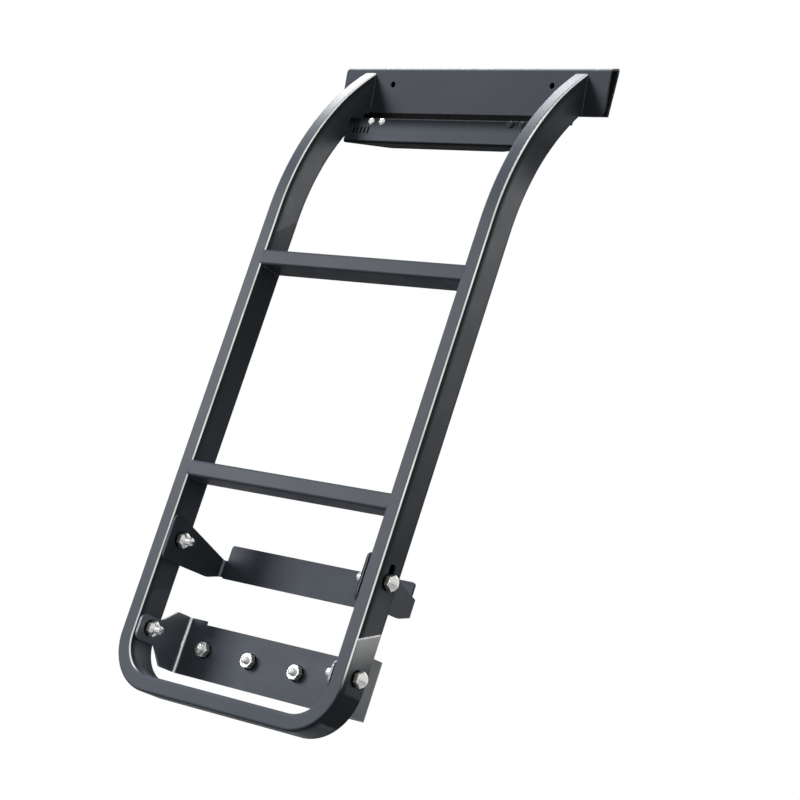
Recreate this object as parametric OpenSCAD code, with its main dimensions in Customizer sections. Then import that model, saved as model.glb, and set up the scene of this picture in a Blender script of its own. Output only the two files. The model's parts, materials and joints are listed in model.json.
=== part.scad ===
// Side ladder for a boxy off-road vehicle.
// A bent tube frame with two rungs hooks over the roof gutter and stands off
// the body on two steel brackets. The lower bracket is bolted to the body.
// Millimetres. X across the ladder, +Y towards the vehicle, +Z up the rails.
// The origin is the middle of the lower bracket's rear face.

/* [Frame] */
// Width over both rails
frame_width = 360; // [300:1:460]
// Width of the tube's front face
tube_face = 20; // [16:1:26]
// Depth of the tube from front to rear
tube_depth = 40; // [34:1:50]
// Wall of the tube
tube_wall = 2; // [1.5:0.5:3]
// Outer radius of the tube's long edges
tube_edge = 3; // [2.5:0.5:4]
// Outer radius of the two bottom bends
bend_radius = 65; // [60:0.5:90]
// Height of the middle of the lower rung over the foot
lower_rung_z = 277; // [240:1:320]
// Height of the middle of the upper rung over the foot
upper_rung_z = 558; // [480:1:600]
// Height over the foot where the rails start to bend back
arc_start_z = 624.5; // [610:0.5:700]
// Radius of the rail's front edge in the top bend
arc_radius = 359; // [320:1:420]
// Height of the slanted joint's middle over the bottom bend
joint_rise = 60; // [53:1:70]

/* [Gutter hook] */
// Length of the hook beyond each rail
hook_overhang = 32.5; // [4:0.5:80]
// Thickness of the hook's sheet
hook_sheet = 2.5; // [2:0.5:3]
// Height of the hook's front panel below its top bend
hook_drop = 52; // [46:1:58]
// Lean of the front panel, its foot towards the vehicle, in degrees
hook_lean = 13; // [8:1:16]
// Outer radius of the hook's front bend
hook_bend = 9; // [7:0.5:11]
// Length of the flat roof of the hook behind its front bend
hook_roof = 7.5; // [6:0.5:12]
// Rise of the roof towards the rear, in degrees
hook_rise = 14; // [8:1:18]
// Length of the rear flange below its bend
hook_flange = 58; // [50:1:60]
// Lean of the rear flange towards the front panel, in degrees
flange_lean = 8; // [4:0.5:8]
// Distance of a clamp screw hole from its rail
hook_hole_inset = 31.5; // [20:0.5:60]
// Radius of a clamp screw hole
hook_hole_r = 4; // [2.5:0.1:4.5]
// Depth of the holes below the bend line of the panel
hook_hole_drop = 14.5; // [12:0.5:20]

/* [Gutter jaw] */
// Height of the jaw's front wall
jaw_height = 35; // [30:1:44]
// Drop of the front wall's top below the hook's bend line
jaw_drop = 72; // [66:1:80]
// Distance of the front wall in front of the hook's bend line
jaw_forward = 19; // [15:0.5:21]
// Thickness of the jaw's sheet
jaw_sheet = 2.5; // [2:0.5:3]
// Depth of the jaw from its front wall to its rear lip
jaw_depth = 32; // [28:1:34]
// Height of the rear lip's edge over the front wall
jaw_lip = 18.5; // [14:0.5:19]
// Depth of the fold along the foot of the front wall
jaw_hem = 17; // [12:0.5:20]
// Length over which the fold tapers off towards each end
jaw_taper = 70; // [40:1:90]
// Number of small slots near each end
slot_count = 5; // [3:1:6]
// Distance of the outer screw from the jaw's end
jaw_screw_inset = 38; // [30:1:60]
// Distance between the two screws at one end
jaw_screw_pitch = 18; // [14:1:24]
// Depth of the screws below the jaw's top
jaw_screw_drop = 6.5; // [6:0.5:9]

/* [Upper bracket] */
// Height of the pivot bolts over the foot
upper_pivot_z = 190; // [186:1:230]
// Distance from the rails' front faces to the bracket's plate
upper_reach = 104; // [90:1:120]
// Length that the pivot bolts can slide up in the rails
slide_travel = 16; // [8:1:20]
// Height of the plate between its ends
upper_plate_height = 43; // [38:1:50]
// Height of the narrow necks that join plate and cheeks
neck_height = 19; // [16:1:26]

/* [Lower bracket] */
// Height of the pivot bolts over the bottom bends
lower_pivot_rise = 12; // [10:1:19]
// Distance from the rails' front faces to the bracket's plate
lower_reach = 82; // [76:1:95]
// Height of the plate
lower_plate_height = 66; // [58:1:70]
// Extra height of the plate's two ends
ear_rise = 4.5; // [3:0.5:6]
// Distance between neighbouring plate bolts
bolt_gap = 77; // [66:1:80]
// Drop of the plate bolts below the pivot bolts
bolt_row_drop = 4; // [1:1:6]
// Length of a plate bolt behind the plate
stud_length = 24; // [15:1:35]

/* [Fasteners] */
// Sheet of both brackets
bracket_sheet = 3; // [2.5:0.5:4]
// Radius of the pivot bolts
bolt_r = 5; // [4:0.5:6]
// Gap all round a bolt in its hole
bolt_clearance = 0.25; // [0.2:0.05:0.5]
// Extra radius of a plate bolt in the plate and in front of it
neck_extra = 0.2; // [0.2:0.05:0.4]
// Distance of the pivot bolts behind the rails' front faces
pivot_y = 21; // [19:1:24]
// Outer radius of the washers
washer_r = 10; // [9:0.5:12]
// Thickness of the washers
washer_t = 2; // [1.5:0.5:2.5]
// Thickness of the spacers between rails and brackets
spacer_t = 2; // [1.5:0.5:4]
// Gap between a spacer and its rail
spacer_gap = 0.1; // [0.1:0.05:0.3]
// Width of the hexagon heads and nuts over their flats
hex_flats = 17; // [15:1:19]
// Height of the hexagon
hex_height = 6.5; // [5:0.5:9]
// Height of the dome on the hexagon
dome_height = 4.5; // [3:0.5:5]
// Height of the nuts on the plate bolts
plate_nut_height = 7.5; // [6:0.5:9]
// Length of a plate bolt's round end in front of its nut
bolt_end = 5.5; // [3:0.5:8]

/* [Hidden] */

$fn = 64;
paint = [0.39, 0.41, 0.45];
zinc = [0.85, 0.86, 0.87];
black = [0.07, 0.07, 0.08];
joint_slope = 23;                                // slant of the rail joints in degrees
half = frame_width / 2;
inner_half = half - tube_face;
hole_r = bolt_r + bolt_clearance;
spacer_r = bolt_r + 2;
neck_r = bolt_r + neck_extra;
plate_hole_r = neck_r + bolt_clearance;
arc_turn = 50;                                   // turn of the top bend before it is trimmed
arc_end = 40.6;                                  // turn of the bend where the hook's own bend starts
panel_y = arc_radius * (1 - cos(arc_end));
panel_z = arc_start_z + arc_radius * sin(arc_end) - 1;
hook_width = frame_width + 2 * hook_overhang;
hook_hole_x = inner_half - hook_hole_inset;
joint_z = bend_radius + joint_rise;
lower_pivot_z = bend_radius + lower_pivot_rise;
bolt_row_z = lower_pivot_z - bolt_row_drop;
jaw_screw_x = inner_half - jaw_screw_inset;
cheek_x = inner_half - spacer_t;                 // outer face of a bracket's cheek
cheek_bend = bracket_sheet + 3;                  // outer radius of the bracket's corners
jaw_screw_r = 2.5;                               // radius of the jaw screws' threads
tiny = 0.01;

// Puts the foot-based frame so that the lower plate's rear face is at the origin
module place() {
    translate([0, -(lower_reach + bracket_sheet), -bolt_row_z]) children();
}

// Rectangle with true round corners, centred
module round_rect(w, h, r) {
    square([w - 2 * r, h], center = true);
    square([w, h - 2 * r], center = true);
    for (x = [-1, 1], y = [-1, 1])
        translate([x * (w / 2 - r), y * (h / 2 - r)]) circle(r = r);
}

// Cross section of the tube, w by h over all
module tube_section(w, h) {
    difference() {
        round_rect(w, h, tube_edge);
        round_rect(w - 2 * tube_wall, h - 2 * tube_wall, max(tube_edge - tube_wall, 0.5));
    }
}

// Half space above the slanted joint of the rails, in the YZ plane
module above_joint() {
    rise = tube_depth * tan(joint_slope);
    rotate([90, 0, 90])
        linear_extrude(frame_width * 2, center = true)
            polygon([[-1, joint_z - rise / 2 - tan(joint_slope)],
                     [tube_depth + 1, joint_z + rise / 2 + tan(joint_slope)],
                     [tube_depth + 1, arc_start_z + 10], [-1, arc_start_z + 10]]);
}

// Straight tube along Z on the right side between two heights
module side_tube(from_z, to_z) {
    translate([half - tube_face / 2, tube_depth / 2, from_z])
        linear_extrude(to_z - from_z) tube_section(tube_face, tube_depth);
}

// Bolt shank along X through a rail, or the slot that it slides in
module pivot_hole(z, travel = 0) {
    for (dz = [0, travel])
        translate([0, pivot_y, z + dz]) rotate([0, 90, 0]) cylinder(r = hole_r, h = frame_width);
    if (travel > 0)
        translate([0, pivot_y - hole_r, z]) cube([frame_width, 2 * hole_r, travel]);
}

module rail() {
    color(paint)
    difference() {
        intersection() {
            side_tube(joint_z - tube_depth, arc_start_z);
            above_joint();
        }
        pivot_hole(upper_pivot_z, slide_travel);
    }
}

// Bent top of a rail, cut where it is welded to the hook's front panel
module arc() {
    color(paint)
    difference() {
        translate([half - tube_face / 2, arc_radius, arc_start_z])
            rotate([90, 0, -90])
                rotate_extrude(angle = arc_turn, $fn = 180)
                    translate([arc_radius - tube_depth / 2, 0]) tube_section(tube_depth, tube_face);
        hook_place() translate([-frame_width, 0, -arc_radius])
            cube([2 * frame_width, arc_radius, 2 * arc_radius]);
    }
}

module corner() {
    color(paint)
    difference() {
        union() {
            difference() {
                side_tube(bend_radius, joint_z + tube_depth);
                above_joint();
            }
            translate([half - bend_radius, tube_depth / 2, bend_radius])
                rotate([90, 0, 0]) rotate([0, 0, -90])
                    rotate_extrude(angle = 90, $fn = 96)
                        translate([bend_radius - tube_face / 2, 0])
                            tube_section(tube_face, tube_depth);
        }
        pivot_hole(lower_pivot_z);
    }
}

// Straight tube along X at a height
module cross_tube(z, half_length) {
    color(paint)
    translate([-half_length, tube_depth / 2, z])
        rotate([90, 0, 90])
            linear_extrude(2 * half_length) tube_section(tube_depth, tube_face);
}

// Frame of the hook: X across, Y back from the panel's front face, Z up from its bend line
module hook_place() {
    translate([0, panel_y, panel_z]) rotate([hook_lean, 0, 0]) children();
}

// Points on an arc round a centre from one direction to another, in degrees
function arc_points(centre, r, from_a, to_a, steps = 12) =
    [for (i = [0 : steps]) let (a = from_a + (to_a - from_a) * i / steps)
        centre + r * [cos(a), sin(a)]];

// Side view of the hook in its own frame: panel, front bend, roof, rear bend, flange
module hook_profile() {
    t = hook_sheet;
    rear_bend = t + 0.5;
    roof_a = 90 + hook_rise;
    roof_dir = [cos(hook_rise), sin(hook_rise)];
    roof_out = [cos(roof_a), sin(roof_a)];
    flange_out = [cos(flange_lean), -sin(flange_lean)];
    flange_dir = [-sin(flange_lean), -cos(flange_lean)];
    c1 = [hook_bend, 0];
    c2 = c1 + roof_out * (hook_bend - rear_bend) + roof_dir * hook_roof;
    foot = c2 + flange_dir * hook_flange;
    polygon(concat(
        [[0, -hook_drop]],
        arc_points(c1, hook_bend, 180, roof_a),
        arc_points(c2, rear_bend, roof_a, -flange_lean),
        [foot + flange_out * rear_bend, foot + flange_out * (rear_bend - t)],
        arc_points(c2, rear_bend - t, -flange_lean, roof_a),
        arc_points(c1, hook_bend - t, roof_a, 180),
        [[t, -hook_drop]]));
}

module gutter_hook() {
    corner_r = 10;
    color(paint)
    hook_place()
    difference() {
        rotate([90, 0, 90]) linear_extrude(hook_width, center = true) hook_profile();
        for (s = [-1, 1])
            translate([s * hook_hole_x, -1, -hook_hole_drop])
                rotate([-90, 0, 0]) cylinder(r = hook_hole_r, h = hook_sheet + 2);
        for (s = [-1, 1])
            scale([s, 1, 1]) translate([hook_width / 2 - corner_r, -1, -hook_drop + corner_r])
                rotate([-90, 0, 0]) difference() {
                    cube([corner_r + 1, corner_r + 1, hook_sheet + 2]);
                    cylinder(r = corner_r, h = hook_sheet + 2);
                }
    }
}

// Section of a sheet folded at right angles, drawn upwards from its first edge
// Each step is [straight length, turn: 1 right, -1 left, 0 none]
module folded(steps, t, r_in, i = 0) {
    if (i < len(steps)) {
        run = steps[i][0];
        turn = steps[i][1];
        square([t, run]);
        if (turn == 1)
            translate([t + r_in, run]) {
                quarter_ring(r_in, t);
                translate([0, t + r_in]) rotate(-90) folded(steps, t, r_in, i + 1);
            }
        if (turn == -1)
            translate([-r_in, run]) {
                mirror([1, 0]) quarter_ring(r_in, t);
                translate([0, r_in]) rotate(90) folded(steps, t, r_in, i + 1);
            }
    }
}

// Upper left quarter of a ring
module quarter_ring(r_in, t) {
    intersection() {
        difference() {
            circle(r = r_in + t);
            circle(r = r_in);
        }
        translate([-r_in - t, 0]) square(r_in + t);
    }
}

// Frame of the jaw: Y back from its front wall, Z up from its foot
module jaw_place() {
    translate([0, panel_y - jaw_forward, panel_z - jaw_drop - jaw_height]) children();
}

// Side view of the jaw: hem at the foot, front wall, shelf and rear lip
module jaw_profile() {
    r_in = 1.5;
    r_out = r_in + jaw_sheet;
    middle = jaw_height / 2;
    translate([0, middle])
        folded([[jaw_height - middle - r_out, 1], [jaw_depth - 2 * r_out, -1],
                [jaw_lip - r_in, 0]], jaw_sheet, r_in);
    translate([0, middle]) mirror([0, 1])
        folded([[middle - r_out, 1], [jaw_hem - r_out, 0]], jaw_sheet, r_in);
}

module gutter_jaw() {
    slot_pitch = 6.2;
    slot_w = 2.6;
    slot_h = 9;
    color(paint)
    jaw_place()
    difference() {
        rotate([90, 0, 90]) linear_extrude(2 * inner_half, center = true) jaw_profile();
        for (s = [-1, 1], i = [0 : slot_count - 1])
            translate([s * (inner_half - 12 - i * slot_pitch) - slot_w / 2, -1,
                       jaw_height - 23])
                cube([slot_w, jaw_sheet + 2, slot_h]);
        for (s = [-1, 1], i = [0, 1])
            translate([s * (jaw_screw_x - i * jaw_screw_pitch), -1, jaw_height - jaw_screw_drop])
                rotate([-90, 0, 0]) cylinder(r = jaw_screw_r + 0.2, h = jaw_sheet + 2);
        for (s = [-1, 1]) scale([s, 1, 1])
            translate([inner_half, jaw_hem, -1]) linear_extrude(jaw_sheet + 2)
                polygon([[1, 1], [1, 3 - jaw_hem], [0, 3 - jaw_hem], [-jaw_taper, 0], [-jaw_taper, 1]]);
    }
}

// Rubber edging pushed over the rear lip
module jaw_trim() {
    wall = 1.5;
    height = 10;
    color(black)
    jaw_place()
    translate([0, jaw_depth - jaw_sheet - wall, jaw_height + jaw_lip + wall - height])
        difference() {
            translate([-inner_half, 0, 0]) cube([2 * inner_half, jaw_sheet + 2 * wall, height]);
            translate([-frame_width, wall, -wall]) cube([2 * frame_width, jaw_sheet, height]);
        }
}

// The pair of button head screws at one end of the jaw
module jaw_screws() {
    head_r = 5;
    head_h = 4;
    ball_r = (pow(head_r, 2) + pow(head_h, 2)) / (2 * head_h);
    color(zinc)
    jaw_place()
    for (i = [0, 1])
        translate([jaw_screw_x - i * jaw_screw_pitch, 0, jaw_height - jaw_screw_drop])
            rotate([90, 0, 0]) difference() {
                union() {
                    intersection() {
                        translate([0, 0, head_h - ball_r]) sphere(r = ball_r);
                        cylinder(r = head_r, h = head_h + 1);
                    }
                    translate([0, 0, -14]) cylinder(r = jaw_screw_r, h = 15);
                }
                translate([0, 0, head_h - 2]) cylinder(r = 2, h = 6, $fn = 6);
            }
}

// Plan of a bracket: plate across the rear, round corners and two cheeks forward
module bracket_plan(reach) {
    side = cheek_x - cheek_bend;
    difference() {
        union() {
            translate([-side, reach]) square([2 * side, bracket_sheet]);
            for (s = [-1, 1]) scale([s, 1]) {
                translate([side, reach + bracket_sheet - cheek_bend])
                    intersection() {
                        circle(r = cheek_bend);
                        square(cheek_bend);
                    }
                translate([cheek_x - bracket_sheet, 0])
                    square([bracket_sheet, reach + bracket_sheet - cheek_bend]);
            }
        }
        for (s = [-1, 1])
            translate([s * side, reach + bracket_sheet - cheek_bend])
                circle(r = cheek_bend - bracket_sheet);
    }
}

// Outline in which each point [y, z, radius] has a round corner of that radius
function rounded(points) =
    [for (i = [0 : len(points) - 1])
        each round_corner(points[(i + len(points) - 1) % len(points)], points[i],
                          points[(i + 1) % len(points)])];

function flat(point) = [point[0], point[1]];

function unit(v) = v / norm(v);

// Arc that touches both sides of a corner
function round_corner(before, corner, after, steps = 6) =
    let (u = unit(flat(before) - flat(corner)), v = unit(flat(after) - flat(corner)),
         half_angle = acos(u * v) / 2,
         r = corner[2],
         centre = flat(corner) + unit(u + v) * r / sin(half_angle),
         from = flat(corner) + u * r / tan(half_angle) - centre,
         to = flat(corner) + v * r / tan(half_angle) - centre,
         turn = atan2(cross(from, to), from * to),
         start = atan2(from[1], from[0]))
    r == 0 ? [flat(corner)] : arc_points(centre, r, start, start + turn, steps);

// Side view of an upper cheek: slanted top edge, round front, narrow neck at the rear
module upper_cheek_side() {
    rear = upper_reach + bracket_sheet + 1;
    neck_low = upper_pivot_z - 20;
    front = 1;
    corner = 7;
    low = upper_pivot_z - 30;
    polygon(rounded([[front, low, corner], [rear - 24, low + 2, 14], [rear, neck_low, 0],
                     [rear, neck_low + neck_height, 0], [front, upper_pivot_z + 30, corner]]));
}

module upper_bracket() {
    plate_low = upper_pivot_z - 22.5;
    plate_half = cheek_x - cheek_bend - 3;
    round_r = 4;
    color(paint)
    difference() {
        union() {
            intersection() {
                linear_extrude(upper_pivot_z * 2) bracket_plan(upper_reach);
                rotate([90, 0, 90]) linear_extrude(frame_width, center = true) upper_cheek_side();
            }
            translate([0, upper_reach + bracket_sheet, plate_low])
                rotate([90, 0, 0]) linear_extrude(bracket_sheet)
                    difference() {
                        translate([-plate_half, 0]) square([2 * plate_half, upper_plate_height]);
                        for (s = [-1, 1]) scale([s, 1])
                            translate([plate_half - round_r, upper_plate_height - round_r])
                                difference() {
                                    square(round_r + 1);
                                    circle(r = round_r);
                                }
                    }
        }
        translate([-frame_width / 2, pivot_y, upper_pivot_z])
            rotate([0, 90, 0]) cylinder(r = hole_r, h = frame_width);
    }
}

// Side view of a lower cheek: lug with a round front, slanted edges up and down to the tall plate
module lower_cheek_side() {
    rear = lower_reach + bracket_sheet + 1;
    plate_low = bolt_row_z - lower_plate_height / 2 - 2;
    ear_top = plate_low + lower_plate_height + ear_rise;
    lug_low = lower_pivot_z - 18;
    lug_top = lower_pivot_z + 14;
    front = 2;
    corner = 8;
    slant = 20;
    polygon(rounded([[front, lug_low, corner], [tube_depth - 3, lug_low, 3],
                     [tube_depth - 4 + slant, plate_low, 5], [rear, plate_low, 0],
                     [rear, ear_top, 0], [tube_depth - 2 + slant, ear_top, 3],
                     [tube_depth - 4, lug_top, 3], [front, lug_top, corner]]));
}

module lower_bracket() {
    plate_low = bolt_row_z - lower_plate_height / 2 - 2;
    step_x = cheek_x - 29.5;
    color(paint)
    difference() {
        intersection() {
            linear_extrude(lower_pivot_z * 3) bracket_plan(lower_reach);
            rotate([90, 0, 90]) linear_extrude(frame_width, center = true) lower_cheek_side();
        }
        translate([0, lower_reach - 1, plate_low + lower_plate_height])
            linear_extrude(ear_rise + 10)
                translate([-step_x, 0]) square([2 * step_x, bracket_sheet + 2]);
        translate([-frame_width / 2, pivot_y, lower_pivot_z])
            rotate([0, 90, 0]) cylinder(r = hole_r, h = frame_width);
        for (i = [0 : 3])
            translate([plate_bolt_x(i), lower_reach - 1, bolt_row_z])
                rotate([-90, 0, 0]) cylinder(r = plate_hole_r, h = bracket_sheet + 2);
    }
}

function plate_bolt_x(i) = (i - 1.5) * bolt_gap;

// Hexagon with a low dome, on its seat at z = 0
module dome_hex() {
    corner_r = hex_flats / sqrt(3);
    ball_r = (pow(corner_r * 0.86, 2) + pow(dome_height, 2)) / (2 * dome_height);
    intersection() {
        cylinder(r = corner_r, h = hex_height, $fn = 6);
        cylinder(r1 = corner_r + hex_height - 1.2, r2 = corner_r - 1.2, h = hex_height);
    }
    intersection() {
        translate([0, 0, hex_height + dome_height - ball_r]) sphere(r = ball_r);
        cylinder(r = corner_r * 0.86, h = 4 * hex_height);
        translate([0, 0, hex_height - tiny]) cylinder(r = 2 * hex_flats, h = 4 * hex_height);
    }
}

// Pivot hardware of the right rail at a height, seats stacked from the outside inwards
bolt_reach = 2 * washer_t + tube_face + spacer_t + bracket_sheet + hex_height;

module pivot_bolt(z) {
    color(zinc)
    translate([half + washer_t, pivot_y, z]) rotate([0, 90, 0]) {
        dome_hex();
        translate([0, 0, -bolt_reach]) cylinder(r = bolt_r, h = bolt_reach + 1);
    }
}

module pivot_nut(z) {
    color(zinc)
    translate([cheek_x - bracket_sheet - washer_t, pivot_y, z]) rotate([0, -90, 0])
        difference() {
            dome_hex();
            translate([0, 0, -1]) cylinder(r = bolt_r + 0.05, h = hex_height + 1.2);
        }
}

module ring(x, z, r, t) {
    color(black)
    translate([x, pivot_y, z]) rotate([0, 90, 0])
        difference() {
            cylinder(r = r, h = t);
            translate([0, 0, -1]) cylinder(r = hole_r, h = t + 2);
        }
}

module rail_washer(z) {
    ring(half, z, washer_r, washer_t);
}

module spacer(z) {
    ring(cheek_x, z, spacer_r, spacer_t - spacer_gap);
}

// Washers under the nuts of both sides
module inner_washers(z) {
    for (s = [0, 1]) mirror([s, 0, 0])
        ring(cheek_x - bracket_sheet - washer_t, z, washer_r, washer_t);
}

// Frame of a plate bolt: its axis forward from the face of its washer
module plate_bolt_place(i) {
    translate([plate_bolt_x(i), lower_reach - washer_t / 2, bolt_row_z]) rotate([90, 0, 0]) children();
}

module plate_washers() {
    color(black)
    for (i = [0 : 3]) plate_bolt_place(i) translate([0, 0, -washer_t / 2])
        difference() {
            cylinder(r = washer_r, h = washer_t / 2);
            translate([0, 0, -1]) cylinder(r = plate_hole_r, h = washer_t + 2);
        }
}

module plate_nut(i) {
    corner_r = hex_flats / sqrt(3);
    edge_r = corner_r - 1.4;
    color(zinc)
    plate_bolt_place(i)
        difference() {
            intersection() {
                cylinder(r = corner_r, h = plate_nut_height, $fn = 6);
                cylinder(r1 = edge_r + plate_nut_height, r2 = edge_r, h = plate_nut_height);
            }
            translate([0, 0, -1]) cylinder(r = neck_r + 0.05, h = plate_nut_height + 2);
        }
}

// Bolt with a thread behind the plate, a wider neck in it and a round end in front of its nut
module plate_bolt(i) {
    neck = bracket_sheet + washer_t / 2;
    tip = plate_nut_height + bolt_end;
    ball_r = neck_r * 1.25;
    color(zinc)
    plate_bolt_place(i) {
        translate([0, 0, -neck - stud_length]) cylinder(r = bolt_r, h = stud_length + tiny);
        intersection() {
            translate([0, 0, -neck]) cylinder(r = neck_r, h = neck + tip);
            union() {
                translate([0, 0, tip - ball_r]) sphere(r = ball_r);
                translate([0, 0, -2 * neck]) cylinder(r = 2 * neck_r, h = 2 * neck + tip - ball_r);
            }
        }
    }
}

module left() { mirror([1, 0, 0]) children(); }

place() left() rail();  // left_rail
place() rail();  // right_rail
place() left() arc();  // left_arc
place() arc();  // right_arc
place() left() corner();  // left_corner
place() corner();  // right_corner
place() cross_tube(tube_face / 2, half - bend_radius);  // bottom_bar
place() cross_tube(lower_rung_z, inner_half);  // lower_rung
place() cross_tube(upper_rung_z, inner_half);  // upper_rung
place() gutter_hook();
place() gutter_jaw();
place() jaw_trim();
place() left() jaw_screws();  // jaw_screw_left
place() jaw_screws();  // jaw_screw_right
place() upper_bracket();
place() lower_bracket();
place() left() pivot_bolt(upper_pivot_z);  // upper_bolt_left
place() pivot_bolt(upper_pivot_z);  // upper_bolt_right
place() left() pivot_nut(upper_pivot_z);  // upper_nut_left
place() pivot_nut(upper_pivot_z);  // upper_nut_right
place() left() rail_washer(upper_pivot_z);  // upper_washer_left
place() rail_washer(upper_pivot_z);  // upper_washer_right
place() left() spacer(upper_pivot_z);  // upper_spacer_left
place() spacer(upper_pivot_z);  // upper_spacer_right
place() inner_washers(upper_pivot_z);  // upper_inner_washers
place() left() pivot_bolt(lower_pivot_z);  // lower_bolt_left
place() pivot_bolt(lower_pivot_z);  // lower_bolt_right
place() left() pivot_nut(lower_pivot_z);  // lower_nut_left
place() pivot_nut(lower_pivot_z);  // lower_nut_right
place() left() rail_washer(lower_pivot_z);  // lower_washer_left
place() rail_washer(lower_pivot_z);  // lower_washer_right
place() left() spacer(lower_pivot_z);  // lower_spacer_left
place() spacer(lower_pivot_z);  // lower_spacer_right
place() inner_washers(lower_pivot_z);  // lower_inner_washers
place() plate_bolt(0);  // plate_bolt_1
place() plate_bolt(1);  // plate_bolt_2
place() plate_bolt(2);  // plate_bolt_3
place() plate_bolt(3);  // plate_bolt_4
place() plate_nut(0);  // plate_nut_1
place() plate_nut(1);  // plate_nut_2
place() plate_nut(2);  // plate_nut_3
place() plate_nut(3);  // plate_nut_4
place() plate_washers();
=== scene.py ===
import json
import math

import bmesh
import bpy
from mathutils import Matrix, Vector, noise


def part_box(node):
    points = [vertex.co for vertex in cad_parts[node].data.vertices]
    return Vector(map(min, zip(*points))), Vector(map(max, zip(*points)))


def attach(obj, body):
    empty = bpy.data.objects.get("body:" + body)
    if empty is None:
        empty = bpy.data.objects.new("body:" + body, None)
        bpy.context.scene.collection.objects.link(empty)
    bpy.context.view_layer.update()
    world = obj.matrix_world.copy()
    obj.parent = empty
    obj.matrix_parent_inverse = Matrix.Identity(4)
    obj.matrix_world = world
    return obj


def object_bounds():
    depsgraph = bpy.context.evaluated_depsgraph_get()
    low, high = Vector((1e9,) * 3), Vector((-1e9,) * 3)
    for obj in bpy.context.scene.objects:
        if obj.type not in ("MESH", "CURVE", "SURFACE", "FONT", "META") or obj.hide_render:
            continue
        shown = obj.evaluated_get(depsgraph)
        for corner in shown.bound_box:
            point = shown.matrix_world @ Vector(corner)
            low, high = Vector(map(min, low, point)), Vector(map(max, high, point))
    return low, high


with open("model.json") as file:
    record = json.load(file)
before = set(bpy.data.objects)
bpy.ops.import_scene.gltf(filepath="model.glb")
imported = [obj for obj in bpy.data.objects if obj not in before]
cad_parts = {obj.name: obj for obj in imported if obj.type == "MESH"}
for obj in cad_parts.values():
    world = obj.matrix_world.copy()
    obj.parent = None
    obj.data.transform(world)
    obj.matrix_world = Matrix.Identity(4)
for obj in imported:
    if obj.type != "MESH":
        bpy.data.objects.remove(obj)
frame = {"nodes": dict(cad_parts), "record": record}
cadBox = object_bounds()
nodes = frame["nodes"]
print("frame loaded:", len(nodes), "nodes")

mm = 0.001


# The middle and the size of a node's box
def middleOf(node):
    low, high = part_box(node)
    return (low + high) / 2


def sizeOf(node):
    low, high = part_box(node)
    return high - low


# Shader maths as Python: a wire is an output socket of a node tree
class Wire:
    def __init__(self, graph, socket):
        self.graph = graph
        self.socket = socket

    def maths(self, operation, *values):
        return self.graph.node("ShaderNodeMath", dict(operation=operation), dict(enumerate(values)))

    def __add__(self, other):
        return self.maths("ADD", self, other)

    __radd__ = __add__

    def __sub__(self, other):
        return self.maths("SUBTRACT", self, other)

    def __rsub__(self, other):
        return self.maths("SUBTRACT", other, self)

    def __mul__(self, other):
        return self.maths("MULTIPLY", self, other)

    __rmul__ = __mul__

    def __pow__(self, other):
        return self.maths("POWER", self, other)

    def __abs__(self):
        return self.maths("ABSOLUTE", self)

    def __gt__(self, other):
        return self.maths("GREATER_THAN", self, other)

    def least(self, other):
        return self.maths("MINIMUM", self, other)

    def most(self, other):
        return self.maths("MAXIMUM", self, other)

    # 0 at low, 1 at high, smooth between
    def smooth(self, low, high):
        return self.graph.node("ShaderNodeMapRange", dict(interpolation_type="SMOOTHSTEP"),
                               {"Value": self, "From Min": low, "From Max": high})


class NodeGraph:
    def __init__(self, tree):
        self.tree = tree

    # Settings come before sockets; a ramp's stops are (position, value) pairs
    def node(self, kind, settings=None, inputs=None, output=0):
        made = self.tree.nodes.new(kind)
        for key, value in (settings or {}).items():
            if key == "stops":
                self.setStops(made.color_ramp, value)
            else:
                setattr(made, key, value)
        for key, value in (inputs or {}).items():
            self.feed(made.inputs[key], value)
        return Wire(self, made.outputs[output])

    def setStops(self, ramp, stops):
        while len(ramp.elements) < len(stops):
            ramp.elements.new(0.5)
        for element, (position, value) in zip(ramp.elements, stops):
            element.position = position
            element.color = (value, value, value, 1)

    def feed(self, socket, value):
        if isinstance(value, Wire):
            self.tree.links.new(value.socket, socket)
        else:
            socket.default_value = value

    def blend(self, factor, first, second):
        return self.node("ShaderNodeMix", dict(data_type="RGBA"),
                         {0: factor, 6: first, 7: second}, output=2)

    # 1 for what the camera, a reflection or a look through glass sees, 0 for all other light
    def seen(self):
        camera, glossy, through = (self.node("ShaderNodeLightPath", output=kind) for kind in
                                   ("Is Camera Ray", "Is Glossy Ray", "Is Transmission Ray"))
        return (camera + glossy + through).least(1.0)


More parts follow.
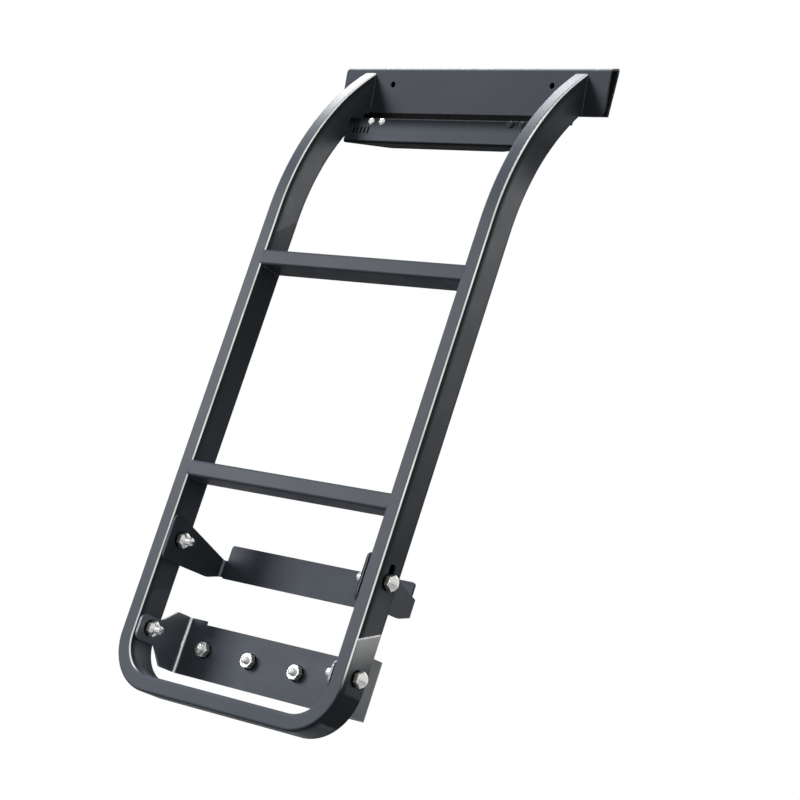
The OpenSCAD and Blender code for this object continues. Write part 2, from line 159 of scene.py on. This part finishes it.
class MaterialGraph(NodeGraph):
    def __init__(self, name):
        self.material = bpy.data.materials.new(name)
        self.material.use_nodes = True
        super().__init__(self.material.node_tree)
        self.shader = self.tree.nodes["Principled BSDF"]
        self.place = self.node("ShaderNodeTexCoord", output="Object")

    def set(self, **values):
        for key, value in values.items():
            self.feed(self.shader.inputs[key.replace("_", " ")], value)

    def stretched(self, scale):
        return self.node("ShaderNodeMapping", dict(vector_type="POINT"),
                         {"Vector": self.place, "Scale": scale})

    # Noise from 0 to 1, its cells about 1 / scale metres
    def cloud(self, scale, detail, place=None):
        return self.node("ShaderNodeTexNoise", None,
                         {"Vector": place or self.place, "Scale": scale, "Detail": detail})

    # A strength that drifts between low and high
    def varied(self, scale, low, high):
        return low + (high - low) * self.cloud(scale, 3)

    def brighter(self, colour, factor):
        return self.node("ShaderNodeVectorMath", dict(operation="SCALE"),
                         {0: colour[:3], 3: factor})

    def axis(self, letter):
        return self.node("ShaderNodeSeparateXYZ", None, {0: self.place}, output=letter)

    # Rounded normal near sharp edges, and how far it turns from the true one
    def roundedEdges(self, radius):
        soft = self.node("ShaderNodeBevel", dict(samples=6), {"Radius": radius})
        hard = self.node("ShaderNodeNewGeometry", output="Normal")
        same = self.node("ShaderNodeVectorMath", dict(operation="DOT_PRODUCT"),
                         {0: soft, 1: hard}, output="Value")
        return soft, 1 - same

    def bump(self, strength, depth, height, under=None):
        inputs = {"Strength": strength, "Distance": depth, "Height": height}
        if under:
            inputs["Normal"] = under
        return self.node("ShaderNodeBump", None, inputs)


# Satin anthracite powder coat over steel; scales are per metre
paint = dict(
    colour=(0.108, 0.123, 0.150, 1),      # full coat
    wornAndHighlight=(0.82, 0.82, 0.79, 1),           # bare metal: rubbed edges and seams, and painted highlights and reflections
    fixed=dict(Coat_Roughness=0.36, Coat_IOR=1.9, Specular_IOR_Level=0.02),
    # wornAndHighlightGloss: less roughness on bare metal, both wear and painted highlight
    roughness=0.5, smear=0.16, smearScale=34, wornAndHighlightGloss=0.2,
    sheen=0.10, sheenScale=9,             # strength of the clear layer on the front faces
    drift=(0.6, 1.4),                     # how far a gloss drifts, as shares of its strength
    tone=0.86, mottle=0.28, mottleScale=11,
    streak=0.06, streakScale=(420, 420, 9),
    speck=0.10, speckScale=2600,
    peel=0.5, peelDepth=0.00012, peelScale=700,
)
rampDrop = 0.1                            # the ramps along the height start this far below 0


class PaintGraph(MaterialGraph):
    def __init__(self, name):
        super().__init__(name)
        self.x, self.y, self.z = (self.axis(letter) for letter in "XYZ")

    # A value that follows (height, value) stops
    def along(self, stops):
        raised = [(height + rampDrop, value) for height, value in stops]
        return self.node("ShaderNodeValToRGB", dict(stops=raised), {0: self.z + rampDrop})

    # The coat itself: tone, roughness and peel; clear is a gloss mask from 0 to 1, and bright a
    # mask of bare-metal colour, which is wear in places and painted highlight or reflection in
    # others
    def finish(self, bright, clear, tone=1.0, soft=None):
        streaks = self.cloud(1, 3, self.stretched(paint["streakScale"]))
        shade = paint["tone"] + paint["mottle"] * self.cloud(paint["mottleScale"], 4)
        shade = shade + paint["streak"] * (streaks - 0.5)
        shade = shade + paint["speck"] * (self.cloud(paint["speckScale"], 1) - 0.5)
        colour = self.blend(bright, self.brighter(paint["colour"], shade * tone), paint["wornAndHighlight"])
        peel = self.bump(paint["peel"], paint["peelDepth"], self.cloud(paint["peelScale"], 2), soft)
        smear = paint["smear"] * (self.cloud(paint["smearScale"], 4) - 0.5)
        rough = paint["roughness"] + smear - paint["wornAndHighlightGloss"] * bright
        self.set(Base_Color=colour, Metallic=bright, Coat_Weight=clear, Normal=peel,
                 Roughness=rough, **paint["fixed"])
        return self.material

    def frontSheen(self):
        return paint["sheen"] * self.varied(paint["sheenScale"], *paint["drift"])


# Where the tubes are: their front plane, their sides and middle line, and their bends
railLow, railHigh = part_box("right_rail")
cornerLow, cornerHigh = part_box("right_corner")
tube = dict(
    face=sizeOf("right_rail").x, depth=sizeOf("right_rail").y, front=railLow.y,
    inner=railLow.x, centre=middleOf("right_rail").x, outer=railHigh.x,
    arcStart=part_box("right_arc")[0].z, arcRadius=359 * mm,
    bendX=cornerLow.x, bendZ=cornerLow.z + 65 * mm,      # centre of the bend at the foot
    frontSoft=0.0004,                     # depth in which the front face ends
    slack=0.0006,                         # how near to its plane a point counts as on a face
)

# Rolled long edges beside the front faces: a painted highlight laid on as bare metal, strong on the
# right of each tube and faint on the left
rolledEdge = dict(
    start=0.00003, full=0.00048,          # depths behind the front plane
    fade=0.0015, end=0.0019,
    leftSide=0.10,                        # strength on the left of each tube
    rightEnd=(-0.022, 0.012),             # heights where the line runs out round the bends
    leftEnd=(-0.0535, -0.045),
    patchScale=16, patch=(0.35, 0.6), least=0.86,
)

# How strongly the side faces shine along the height: (height, strength)
outerShine = [(-0.05, 0.10), (0.05, 0.36), (0.095, 0.30), (0.13, 0.12), (0.33, 0.36), (0.596, 0.80),
              (0.64, 0.16), (0.67, 0.07), (0.74, 0.36), (0.80, 0.30)]
innerShine = [(-0.06, 0.14), (-0.03, 0.90), (0.03, 0.20), (0.12, 0.20), (0.19, 0.0), (0.21, 0.12),
              (0.30, 0.12), (0.38, 0.02), (0.47, 0.0), (0.49, 0.42), (0.57, 0.80), (0.66, 0.75)]
sideFace = dict(
    start=(0.004, 0.012),                 # the shine grows behind the dark band at the edge
    back=(0.034, 0.0385), backDim=0.6,
    patchScale=26,
)
arcSheen = dict(left=0.50, right=0.26, heights=(0.60, 0.79))      # the fronts of the arcs
# Painted light and shade: the tubes are painted lighter at the foot, and the upper rung darker
paintedTubeLight = dict(low=0.14, lowHeights=(-0.05, 0.01), rung=0.2, rungHeights=(0.25, 0.42))

# The slanted joints of the rails: corner and rail below, rail and arc above
joint = dict(
    slope=math.tan(math.radians(23)),
    patchStart=-0.004, patchEnd=0.062,    # how far the painted reflection patch reaches down
    patchScale=60, patchLeast=0.82,
    # metal: the bare-metal share of the painted reflection patch
    metal=0.42, metalStart=(0.001, 0.004),
    upperSlope=0.96, upperHeight=0.5135, upperSoft=0.0006, upperDim=0.42,
)


# Painted reflection: below the lower joint the outer side is painted lighter, with thin bare metal
# and more gloss
def paintedReflectionPatch(graph, outside):
    seamAt = cornerHigh.z - tube["depth"] * joint["slope"]
    under = seamAt + (graph.y - tube["front"]) * joint["slope"] - graph.z
    fade = 1 - under.smooth(joint["patchStart"], joint["patchEnd"])
    return fade * graph.varied(joint["patchScale"], joint["patchLeast"], 1) * outside * (under > 0)


def paintedEdgeHighlight(graph, behind, rightHand):
    across = abs(graph.x) - tube["bendX"]
    below = (graph.z - tube["bendZ"]).least(0.0)
    outerSide = (across * across + below * below) ** 0.5 > tube["centre"] - tube["bendX"]
    rightEdge = 1 - abs(rightHand - outerSide)
    roll = behind.smooth(rolledEdge["start"], rolledEdge["full"])
    roll = roll * (1 - behind.smooth(rolledEdge["fade"], rolledEdge["end"]))
    runOut = rightHand * (1 - graph.z.smooth(*rolledEdge["rightEnd"])) + \
        (1 - rightHand) * (1 - graph.z.smooth(*rolledEdge["leftEnd"]))
    strength = rolledEdge["leftSide"] + (1 - rolledEdge["leftSide"]) * rightEdge
    rubbedAndHighlight = graph.cloud(rolledEdge["patchScale"], 3).smooth(*rolledEdge["patch"])
    wornAndHighlight = rolledEdge["least"] + (1 - rolledEdge["least"]) * rubbedAndHighlight
    return roll * strength * (1 - runOut) * wornAndHighlight


def sideShine(graph, kind, behind, outside, inside):
    reach = behind.smooth(*sideFace["start"])
    reach = reach * (1 - behind.smooth(*sideFace["back"]) * sideFace["backDim"])
    shine = outside * graph.along(outerShine) + inside * graph.along(innerShine)
    if kind != "corner":
        above = graph.z - joint["upperHeight"] - (graph.y - tube["front"]) * joint["upperSlope"]
        dim = 1 - above.smooth(-joint["upperSoft"], joint["upperSoft"])
        shine = shine * (1 - inside * joint["upperDim"] * dim)
    return reach * shine * graph.varied(sideFace["patchScale"], *paint["drift"])


# Kinds are rail, arc, corner and rung; behind is the depth under the front face
def tubePaint(name, kind):
    graph = PaintGraph(name)
    behind = graph.y - tube["front"]
    if kind == "arc":
        outward, up = behind - tube["arcRadius"], graph.z - tube["arcStart"]
        behind = tube["arcRadius"] - (outward * outward + up * up) ** 0.5
    front = 1 - behind.smooth(0.0, tube["frontSoft"])
    tone = 1 + paintedTubeLight["low"] - paintedTubeLight["low"] * graph.z.smooth(*paintedTubeLight["lowHeights"])
    sheen = graph.frontSheen()
    if kind == "rung":
        tone = tone - paintedTubeLight["rung"] * graph.z.smooth(*paintedTubeLight["rungHeights"])
        return graph.finish(0.0, front * sheen, tone)
    rightHand = graph.x > 0
    outside = abs(graph.x) > tube["outer"] - tube["slack"]
    inside = 1 - (abs(graph.x) > tube["inner"] + tube["slack"])
    if kind == "arc":
        atTop = arcSheen["left"] - (arcSheen["left"] - arcSheen["right"]) * rightHand
        sheen = sheen + atTop * graph.z.smooth(*arcSheen["heights"])
    # line is the painted highlight along the rolled edges
    line = paintedEdgeHighlight(graph, behind, rightHand)
    clear = sideShine(graph, kind, behind, outside, inside) + front * sheen
    if kind == "corner":
        # the lighter patch below the lower joint is a painted reflection
        reflectionPatch = paintedReflectionPatch(graph, outside)
        line = line.most(reflectionPatch * joint["metal"] * behind.smooth(*joint["metalStart"]))
        clear = clear.most(reflectionPatch)
    return graph.finish(line, clear, tone)


# Folded sheet: clear gives the gloss, wear the rubbing of cut edges, rubbedAndHighlight a mask of
# bare-metal colour: patches on the seams, and a painted highlight on the bracket folds
sheetEdge = dict(radius=0.0011, turned=(0.02, 0.22), patchScale=240, patch=(0.42, 0.62),
                 least=0.35)


def sheetPaint(name, clear, wear=0, rubbedAndHighlight=None, tone=None):
    graph = PaintGraph(name)
    soft, bright = None, 0.0
    if wear:
        soft, turned = graph.roundedEdges(sheetEdge["radius"])
        patches = graph.cloud(sheetEdge["patchScale"], 5).smooth(*sheetEdge["patch"])
        strength = sheetEdge["least"] + (1 - sheetEdge["least"]) * patches
        bright = turned.smooth(*sheetEdge["turned"]) * strength * wear
    if rubbedAndHighlight:
        bright = rubbedAndHighlight(graph).most(bright)
    return graph.finish(bright, clear(graph), tone(graph) if tone else 1.0, soft)


# The same gloss all over, but for its drift
def evenShine(strength):
    return lambda graph: strength * graph.varied(paint["sheenScale"], *paint["drift"])


# Bright zinc plate on the bolts and nuts
zinc = dict(
    colour=(0.97, 0.97, 0.94, 1), shade=(0.84, 0.85, 0.83, 1), metallic=0.62,
    cloudScale=150, cloudy=(0.35, 0.75), cloudMix=0.5,
    roughness=0.22, roughSpread=0.16, roughMiddle=0.4,
    edgeRadius=0.0007, edgeRough=0.08, edgeTurned=(0.0, 0.2),
    brushScale=(4200, 900, 900), brush=0.35, brushDepth=0.00005,
)


def zincMaterial(name):
    graph = MaterialGraph(name)
    cloudy = graph.cloud(zinc["cloudScale"], 4)
    soft, turned = graph.roundedEdges(zinc["edgeRadius"])
    dull = cloudy.smooth(*zinc["cloudy"]) * zinc["cloudMix"]
    brushed = graph.cloud(1, 2, graph.stretched(zinc["brushScale"]))
    rough = zinc["roughness"] + zinc["roughSpread"] * (cloudy - zinc["roughMiddle"])
    graph.set(Base_Color=graph.blend(dull, zinc["colour"], zinc["shade"]),
              Metallic=zinc["metallic"],
              Roughness=rough + zinc["edgeRough"] * turned.smooth(*zinc["edgeTurned"]),
              Normal=graph.bump(zinc["brush"], zinc["brushDepth"], brushed, soft))
    return graph.material


# Black washers and the edging in the hook
rubber = dict(
    colour=(0.004, 0.004, 0.004, 1), dusty=(0.012, 0.012, 0.012, 1), specular=0.05,
    dustScale=90, dust=(0.45, 0.75), dustMix=0.5,
    edgeRadius=0.0005, edgeTurned=(0.02, 0.2), edgeMix=0.3,
    roughness=0.8, roughSpread=0.2,
    grainScale=1900, grain=0.4, grainDepth=0.00008,
)


def rubberMaterial(name):
    graph = MaterialGraph(name)
    dust = graph.cloud(rubber["dustScale"], 4).smooth(*rubber["dust"])
    soft, turned = graph.roundedEdges(rubber["edgeRadius"])
    pale = dust * rubber["dustMix"] + turned.smooth(*rubber["edgeTurned"]) * rubber["edgeMix"]
    grain = graph.cloud(rubber["grainScale"], 2)
    graph.set(Base_Color=graph.blend(pale, rubber["colour"], rubber["dusty"]),
              Roughness=rubber["roughness"] + rubber["roughSpread"] * (dust - 0.5),
              Specular_IOR_Level=rubber["specular"],
              Normal=graph.bump(rubber["grain"], rubber["grainDepth"], grain, soft))
    return graph.material


# Each bracket's gloss on its cheeks, outside and inside, and on its plate, and the strength of the
# painted highlight on its folds
bracketGloss = {
    "upper_bracket": dict(outerCheek=0.34, innerCheek=0.0, plate=0.05, fold=0.35),
    "lower_bracket": dict(outerCheek=0.85, innerCheek=0.8, plate=0.10, fold=0.95),
    "drift": dict(scale=22, low=0.55, high=1.45),
}

# Folds of a bracket: a painted highlight on the inside, where a cheek turns into the plate, laid on
# as bare metal
bracketFold = dict(radius=3 * mm, sheet=3 * mm, soft=0.4 * mm, patchScale=90, least=0.85)


def paintedFoldHighlight(node):
    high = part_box(node)[1]

    # 1 in the band of the inner radius before the sheet's inner face
    def band(wire, face):
        start, soft = face - bracketFold["sheet"] - bracketFold["radius"], bracketFold["soft"]
        end = face - bracketFold["sheet"] + soft
        return wire.smooth(start, start + soft) * (1 - wire.smooth(end, end + soft))

    def mask(graph):
        patches = graph.varied(bracketFold["patchScale"], bracketFold["least"], 1)
        fold = band(abs(graph.x), high.x) * band(graph.y, high.y)
        return fold * bracketGloss[node]["fold"] * patches
    return mask


def bracketShine(node):
    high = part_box(node)[1]
    gloss = bracketGloss[node]

    def weight(graph):
        cheek = abs(graph.x) > high.x - bracketFold["sheet"] - tube["slack"]
        outside = abs(graph.x) > high.x - tube["slack"]
        inside = cheek * (1 - outside)
        shine = outside * gloss["outerCheek"] + inside * gloss["innerCheek"]
        shine = shine + (1 - cheek) * gloss["plate"]
        return shine * graph.varied(**bracketGloss["drift"])
    return weight


# Light from the ground on the lower bracket's left cheek and the plate beside it
lowerLight = dict(cheek=0.7, outerSkin=0.0024, cheekEnd=(-0.152, -0.1515),
                  plate=0.3, plateEnd=(-0.12, -0.03))


def lowerTone(graph):
    leftFace = -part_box("lower_bracket")[1].x
    inside = (graph.x > leftFace + lowerLight["outerSkin"]) * \
        (1 - graph.x.smooth(*lowerLight["cheekEnd"]))
    beside = 1 - graph.x.smooth(*lowerLight["plateEnd"])
    return 1 + lowerLight["cheek"] * inside + lowerLight["plate"] * beside


# Painted shade: the jaw is painted darker towards its top, under the hook, and inside its slots,
# and its gloss is cut there too
jaw = dict(top=0.7121, shade=0.020, topSoft=0.002, deep=0.0004, dark=0.88, shine=0.06)


def paintedShadeUnderHook(graph):
    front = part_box("gutter_jaw")[0].y
    shaded = graph.z.smooth(jaw["top"] - jaw["shade"], jaw["top"] - jaw["topSoft"])
    deep = graph.y.smooth(front + jaw["deep"], front + 2 * jaw["deep"])
    return (1 - jaw["dark"] * shaded) * (1 - jaw["dark"] * deep)


def jawShine(graph):
    return jaw["shine"] * paintedShadeUnderHook(graph)


# The hook's upper fold catches the light
hook = dict(shine=0.04, topShine=0.6, topBand=(0.008, 0.004), tone=0.86, wear=0.35)


def hookShine(graph):
    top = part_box("gutter_hook")[1].z
    low, high = (top - drop for drop in hook["topBand"])
    return hook["shine"] + hook["topShine"] * graph.z.smooth(low, high)


def hookTone(graph):
    return hook["tone"]


# Bare-metal colour in patches along the slanted seams, and the gloss of the paint on seams and
# beads
seamMetal = dict(strength=0.95, patchScale=500, patch=(0.2, 0.5))
weldShine = dict(beads=0.22, seams=0.2)


def bareSeam(graph):
    patches = graph.cloud(seamMetal["patchScale"], 2).smooth(*seamMetal["patch"])
    return seamMetal["strength"] * patches


railPaint = tubePaint("railPaint", "rail")
arcPaint = tubePaint("arcPaint", "arc")
cornerPaint = tubePaint("cornerPaint", "corner")
rungPaint = tubePaint("rungPaint", "rung")
hookPaint = sheetPaint("hookPaint", hookShine, wear=hook["wear"], tone=hookTone)
jawPaint = sheetPaint("jawPaint", jawShine, tone=paintedShadeUnderHook)
upperSheet = sheetPaint("upperSheet", bracketShine("upper_bracket"),
                        rubbedAndHighlight=paintedFoldHighlight("upper_bracket"))
lowerSheet = sheetPaint("lowerSheet", bracketShine("lower_bracket"),
                        rubbedAndHighlight=paintedFoldHighlight("lower_bracket"), tone=lowerTone)
weldPaint = sheetPaint("weldPaint", evenShine(weldShine["beads"]))
seamPaint = sheetPaint("seamPaint", evenShine(weldShine["seams"]), rubbedAndHighlight=bareSeam)
zincPlate = zincMaterial("zincPlate")
blackRubber = rubberMaterial("blackRubber")

slotFinish = {"paint_anthracite": hookPaint, "fastener_bright": zincPlate,
              "rubber_black": blackRubber}
finishOf = {"_rail": railPaint, "_arc": arcPaint, "_corner": cornerPaint, "_rung": rungPaint,
            "bottom_bar": rungPaint, "gutter_hook": hookPaint, "gutter_jaw": jawPaint,
            "upper_bracket": upperSheet, "lower_bracket": lowerSheet,
            "jaw_screw_right": hookPaint}     # these two screws get the hook's dark paint: painted shade
slotOf = {part["node"]: part["material_slot"] for part in frame["record"]["subparts"]}
for name, piece in nodes.items():
    finish = slotFinish[slotOf[name]]
    for ending, special in finishOf.items():
        if name.endswith(ending):
            finish = special
    piece.data.materials.clear()
    piece.data.materials.append(finish)
print("materials on", len(nodes), "nodes")


# A finished piece from a bmesh: doubles merged, normals out, riding on its body
def addPiece(mesh, name, body, material, smoothUnder):
    bmesh.ops.remove_doubles(mesh, verts=mesh.verts, dist=1e-6)
    bmesh.ops.recalc_face_normals(mesh, faces=mesh.faces)
    data = bpy.data.meshes.new(name)
    mesh.to_mesh(data)
    mesh.free()
    data.materials.append(material)
    data.shade_smooth()
    data.set_sharp_from_angle(angle=math.radians(smoothUnder))
    piece = bpy.data.objects.new(name, data)
    bpy.context.scene.collection.objects.link(piece)
    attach(piece, body)


# One bmesh from several, which are freed
def joined(parts):
    whole = bmesh.new()
    for bm in parts:
        holder = bpy.data.meshes.new("holder")
        bm.to_mesh(holder)
        bm.free()
        whole.from_mesh(holder)
        bpy.data.meshes.remove(holder)
    return whole


# A block with its edges along z rounded by corner, and those of both ends by rim
upright = 0.9                             # least upward share of an edge that stands
sharp = 1.2                               # least angle across an edge of an end, in radians


def block(width, depth, height, corner, rim=0):
    bm = bmesh.new()
    bmesh.ops.create_cube(bm, size=1)
    bmesh.ops.scale(bm, verts=bm.verts, vec=(width, depth, height))
    posts = [e for e in bm.edges
             if abs((e.verts[0].co - e.verts[1].co).normalized().z) > upright]
    bmesh.ops.bevel(bm, geom=posts, offset=corner, offset_type="OFFSET", affect="EDGES",
                    segments=5, profile=0.5, material=-1)
    if rim:
        ends = [e for e in bm.edges if e.calc_face_angle(0) > sharp]
        bmesh.ops.bevel(bm, geom=ends, offset=rim, offset_type="OFFSET", affect="EDGES",
                        segments=2, profile=0.5, material=-1)
    return bm


# Fronts of the rungs carried on to the flat of the rails, filled and ground flush
flush = dict(proud=0.05 * mm, start=159.2 * mm, end=163.1 * mm, corner=3.0 * mm)
rungs = ("lower_rung", "upper_rung")
fillers = []
for rung in rungs:
    centre = middleOf(rung)
    for side in (-1, 1):
        bm = block(tube["face"], tube["depth"] + 2 * flush["proud"], flush["end"] - flush["start"],
                   flush["corner"])
        turn = Matrix.Rotation(math.radians(90), 4, "Y")
        seat = Vector((side * (flush["start"] + flush["end"]) / 2, centre.y, centre.z))
        bmesh.ops.transform(bm, matrix=Matrix.Translation(seat) @ turn, verts=bm.verts)
        fillers.append(bm)
addPiece(joined(fillers), "rung_fillers", "ladder_frame", rungPaint, 60)

# Weld beads along straight joints: a rod of overlapping scales, half sunk in the corner
weld = dict(radius=1.5 * mm, ripple=0.14, pitch=3.2 * mm, sides=10, perScale=5, seed=50,
            reach=4 * mm,                 # how far a bead stays from the tube's front and back
            tip=0.45)                     # share of the section left at a bead's ends


def bead(parts, start, end, radius):
    bm = bmesh.new()
    length = (end - start).length
    steps = round(length / weld["pitch"] * weld["perScale"])
    made = bmesh.ops.create_circle(bm, cap_ends=False, radius=radius, segments=weld["sides"])
    rim = made["verts"] + list(bm.edges)
    bmesh.ops.spin(bm, geom=rim, cent=(0, 0, 0), axis=(0, 0, 1), dvec=(0, 0, length / steps),
                   angle=0, steps=steps)
    for v in bm.verts:
        scale = 1 + weld["ripple"] * math.sin(v.co.z / weld["pitch"] * math.tau)
        drift = Vector((0, 0, v.co.z / weld["pitch"])) + start * weld["seed"]
        scale += weld["ripple"] * noise.noise(drift)
        fromEnd = min(v.co.z, length - v.co.z) / (2 * radius)
        scale *= min(1, weld["tip"] + fromEnd) ** 0.5
        v.co.x *= scale
        v.co.y *= scale
    bmesh.ops.holes_fill(bm, edges=bm.edges, sides=0)
    turn = (end - start).to_track_quat("Z", "Y").to_matrix().to_4x4()
    bmesh.ops.transform(bm, matrix=Matrix.Translation(start) @ turn, verts=bm.verts)
    parts.append(bm)


beads = []
near = tube["front"] + weld["reach"]
far = tube["front"] + tube["depth"] - weld["reach"]
for rung in rungs:
    low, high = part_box(rung)
    for side in (-1, 1):
        for height in (low.z, high.z):
            bead(beads, Vector((side * tube["inner"], near, height)),
                 Vector((side * tube["inner"], far, height)), weld["radius"])

# The arcs meet the hook's panel on a slant
arcEnd = dict(top=(1.42 * mm, 784.1 * mm), foot=(12.84 * mm, 734.7 * mm), inset=2 * mm)
for side in (-1, 1):
    for across in (tube["inner"], tube["outer"]):
        bead(beads, Vector((side * across, *arcEnd["top"])) - Vector((0, 0, arcEnd["inset"])),
             Vector((side * across, *arcEnd["foot"])), weld["radius"])
addPiece(joined(beads), "weld_beads", "ladder_frame", weldPaint, 60)
print("welds made")


# Seams on the outer sides, ground almost flush where rail and corner meet on a slant
seam = dict(radius=1.5 * mm, proud=0.5 * mm, inset=1.2 * mm)
seams = []
for side in (-1, 1):
    ends = []
    for behind in (seam["inset"], tube["depth"] - seam["inset"]):
        height = cornerHigh.z - (tube["depth"] - behind) * joint["slope"]
        ends.append(Vector((side * (tube["outer"] + seam["proud"] - seam["radius"]),
                            tube["front"] + behind, height)))
    bead(seams, ends[0], ends[1], seam["radius"])
addPiece(joined(seams), "slanted_seams", "ladder_frame", seamPaint, 60)
print("seams made")


# The black edging runs on behind the tubes; a black strip behind the jaw's slots is painted shade,
# dark where the slots would show light through
edging = dict(reach=168.5 * mm, overlap=3 * mm, corner=1.0 * mm, rim=0.6 * mm)
slotShadeStrip = dict(low=(110 * mm, -15.1 * mm, 686 * mm), high=(158.5 * mm, -13.1 * mm, 702.6 * mm))


def strip(parts, low, high):
    bm = block(high.y - low.y, high.z - low.z, high.x - low.x, edging["corner"], edging["rim"])
    turn = Matrix.Rotation(math.radians(90), 4, "Y") @ Matrix.Rotation(math.radians(90), 4, "Z")
    bmesh.ops.transform(bm, matrix=Matrix.Translation((low + high) / 2) @ turn, verts=bm.verts)
    parts.append(bm)


low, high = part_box("jaw_trim")
rightStrips = (((high.x - edging["overlap"], low.y, low.z), (edging["reach"], high.y, high.z)),
               (slotShadeStrip["low"], slotShadeStrip["high"]))
strips = []
for side in (-1, 1):
    for first, last in rightStrips:
        ends = sorted((side * first[0], side * last[0]))
        strip(strips, Vector((ends[0], *first[1:])), Vector((ends[1], *last[1:])))
addPiece(joined(strips), "edging_ends_and_slot_shade", "ladder_frame", blackRubber, 60)
print("edging made")


# Thread ridges on the plate's bolts and on the ends of the pivot bolts: a triangle on a helix
thread = dict(pitch=1.5 * mm, height=0.28 * mm, root=0.15 * mm, width=0.9, sides=20)


def threadRidge(bm, start, length, radius):
    steps = int(length / thread["pitch"]) * thread["sides"]
    half = thread["pitch"] * thread["width"] / 2
    root, crest = radius - thread["root"], radius + thread["height"]
    corners = [bm.verts.new(start + Vector((out, along, 0)))
               for out, along in ((root, -half), (crest, 0), (root, half))]
    ring = [bm.edges.new((corners[i], corners[(i + 1) % 3])) for i in range(3)]
    swept = bmesh.ops.spin(bm, geom=corners + ring, cent=start, axis=(0, 1, 0),
                           dvec=Vector((0, length / steps, 0)),
                           angle=math.radians(360 / thread["sides"]) * steps, steps=steps)
    ends = corners + [v for v in swept["geom_last"] if isinstance(v, bmesh.types.BMVert)]
    for trio in (ends[:3], ends[3:6]):
        bmesh.ops.contextual_create(bm, geom=trio)


stud = dict(radius=5 * mm, start=3 * mm, plain=2 * mm)      # plain: left bare at the tip
studs = bmesh.new()
for number in (1, 2, 3, 4):
    centre = middleOf("plate_bolt_%d" % number)
    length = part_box("plate_bolt_%d" % number)[1].y - stud["start"] - stud["plain"]
    threadRidge(studs, Vector((centre.x, stud["start"], centre.z)), length, stud["radius"])
addPiece(studs, "stud_threads", "lower_bracket", zincPlate, 50)


# Ends of the pivot bolts past the inner nuts: a chamfered core with its thread
boltEnd = dict(tip=135.5 * mm, root=144 * mm, radius=4.7 * mm, chamfer=0.9 * mm, sides=24,
               threadStart=1 * mm, plain=1.4 * mm)


def threadedEnd(parts, side, centre):
    bm = bmesh.new()
    length = boltEnd["root"] - boltEnd["tip"]
    r, c = boltEnd["radius"], boltEnd["chamfer"]
    profile = [(0, 0), (r, 0), (r, length - c), (r - c, length), (0, length)]
    line = [bm.verts.new((across, along, 0)) for across, along in profile]
    edges = [bm.edges.new(pair) for pair in zip(line, line[1:])]
    bmesh.ops.spin(bm, geom=line + edges, cent=(0, 0, 0), axis=(0, 1, 0), angle=math.tau,
                   steps=boltEnd["sides"], use_merge=True)
    threadRidge(bm, Vector((0, boltEnd["threadStart"], 0)),
                length - boltEnd["threadStart"] - boltEnd["plain"], r)
    turn = Matrix.Rotation(math.radians(90 * side), 4, "Z")
    seat = Vector((side * boltEnd["root"], centre.y, centre.z))
    bmesh.ops.transform(bm, matrix=Matrix.Translation(seat) @ turn, verts=bm.verts)
    parts.append(bm)


for height, body in (("upper", "upper_bolts"), ("lower", "lower_bracket")):
    tips = []
    for side, hand in ((-1, "left"), (1, "right")):
        threadedEnd(tips, side, middleOf(height + "_bolt_" + hand))
    addPiece(joined(tips), height + "_bolt_ends", body, zincPlate, 50)
print("threads made")


# Camera at the photograph's place
view = dict(place=(1.72661, -1.89894, -0.19970), turn=(102.8254, -17.6594, 37.3881), lens=97.105,
            sensor=36)
camera = bpy.data.cameras.new("camera")
camera.lens = view["lens"]
camera.sensor_width = view["sensor"]
cameraObject = bpy.data.objects.new("camera", camera)
cameraObject.location = view["place"]
cameraObject.rotation_euler = [math.radians(a) for a in view["turn"]]
bpy.context.scene.collection.objects.link(cameraObject)
bpy.context.scene.camera = cameraObject

# Soft studio light: one lamp high on the left, one in front on the left, a weak one behind
lamps = dict(
    top=dict(place=(-2.4, 0.1, 3.9), size=1.9, power=150, colour=(0.93, 0.96, 1.0)),
    front=dict(place=(-2.6, -2.8, 1.1), size=1.6, power=92, colour=(0.97, 0.98, 1.0)),
    back=dict(place=(-1.6, 2.6, 2.0), size=1.8, power=28, colour=(0.95, 0.97, 1.0)),
)
aimAt = Vector((0, -0.04, 0.36))
for name, lamp in lamps.items():
    light = bpy.data.lights.new(name, "AREA")
    light.shape = "SQUARE"
    light.size = lamp["size"]
    light.energy = lamp["power"]
    light.color = lamp["colour"]
    lampObject = bpy.data.objects.new(name, light)
    lampObject.location = lamp["place"]
    lampObject.rotation_euler = (aimAt - Vector(lamp["place"])).to_track_quat("-Z", "Y").to_euler()
    bpy.context.scene.collection.objects.link(lampObject)

# White where it is seen, a plain grey light for the rest
surroundings = dict(light=(0.17, 0.175, 0.16, 1), white=(1, 1, 1, 1))
world = bpy.data.worlds.new("studio")
world.use_nodes = True
bpy.context.scene.world = world
sky = NodeGraph(world.node_tree)
sky.feed(sky.tree.nodes["Background"].inputs["Color"],
         sky.blend(sky.seen(), surroundings["light"], surroundings["white"]))

# Pale floor well below the foot of the ladder; it throws little light back up
floor = dict(drop=0.42, reach=5.0, colour=(0.86, 0.86, 0.86, 1), bounce=(0.025, 0.025, 0.025, 1),
             roughness=0.9, specular=0.1)
bm = bmesh.new()
bmesh.ops.create_circle(bm, cap_ends=True, radius=floor["reach"], segments=96)
bmesh.ops.translate(bm, verts=bm.verts, vec=(0, 0, cadBox[0].z - floor["drop"]))
floorData = bpy.data.meshes.new("floor")
bm.to_mesh(floorData)
bm.free()
floorObject = bpy.data.objects.new("floor", floorData)
bpy.context.scene.collection.objects.link(floorObject)
floorGraph = MaterialGraph("floorPaint")
floorGraph.set(Base_Color=floorGraph.blend(floorGraph.seen(), floor["bounce"], floor["colour"]),
               Roughness=floor["roughness"], Specular_IOR_Level=floor["specular"])
floorData.materials.append(floorGraph.material)

bpy.context.scene.view_settings.view_transform = "Standard"
print("camera, light and floor set")
